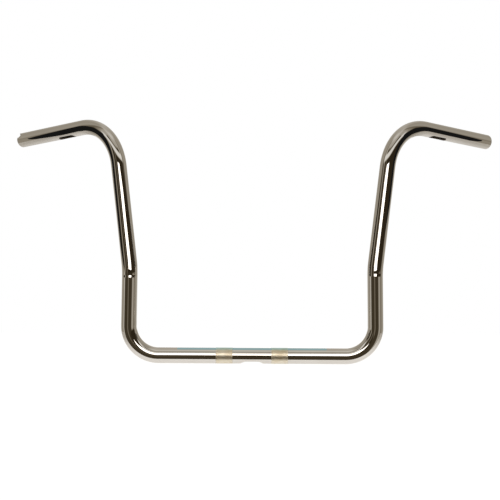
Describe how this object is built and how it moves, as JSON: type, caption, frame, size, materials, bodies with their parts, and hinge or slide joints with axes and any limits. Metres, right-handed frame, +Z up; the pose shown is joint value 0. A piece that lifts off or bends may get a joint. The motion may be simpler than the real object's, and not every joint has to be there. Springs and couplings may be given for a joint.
{
  "type": "motorcycle handlebar",
  "caption": "Tall bent-tube motorcycle handlebar with a knurled clamp area, kinked uprights, swept-back grip sections and wire slots.",
  "frame": {"origin": "on the crossbar's centreline, midway between the two clamp bands", "axes": "+X along the crossbar to the rider's left, +Y back towards the rider, +Z up"},
  "size_m": [0.8451, 0.2166, 0.3993],
  "materials": {
    "chrome_plate": "polished chrome plate on steel, knurled and matt at the two clamp bands, dull inside the bore"
  },
  "bodies": {
    "root": {"handlebar_tube": "chrome_plate"}
  },
  "joints": []
}
